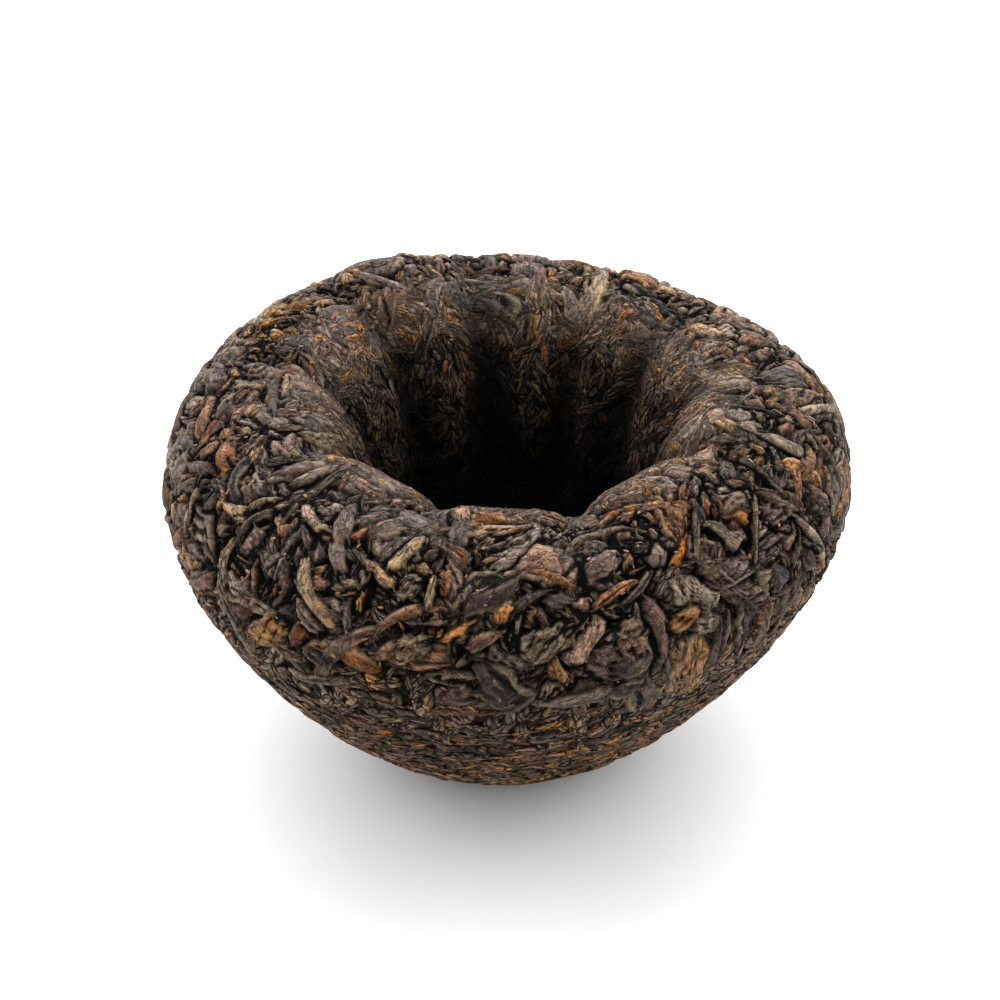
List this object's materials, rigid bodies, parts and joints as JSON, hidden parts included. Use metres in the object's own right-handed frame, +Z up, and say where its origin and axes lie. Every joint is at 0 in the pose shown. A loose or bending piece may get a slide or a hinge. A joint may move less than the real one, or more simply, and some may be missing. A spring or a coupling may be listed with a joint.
{
  "type": "pu-erh tuocha",
  "caption": "Nest-shaped cake of pressed dark tea leaf: a rounded cone on a small foot, with a thick uneven rim and a deep creased hollow in its top.",
  "frame": {"origin": "in the plane of the foot, under the middle of the bounding box", "axes": "+Z up, out of the hollow; +Y away from the viewer of the picture and +X to their right"},
  "size_m": [0.083, 0.083, 0.05],
  "materials": {
    "pressed_tea": "dry leaf, dull, with a faint sheen on the smoother leaves"
  },
  "bodies": {
    "root": {"tuocha": "pressed_tea"}
  },
  "joints": []
}
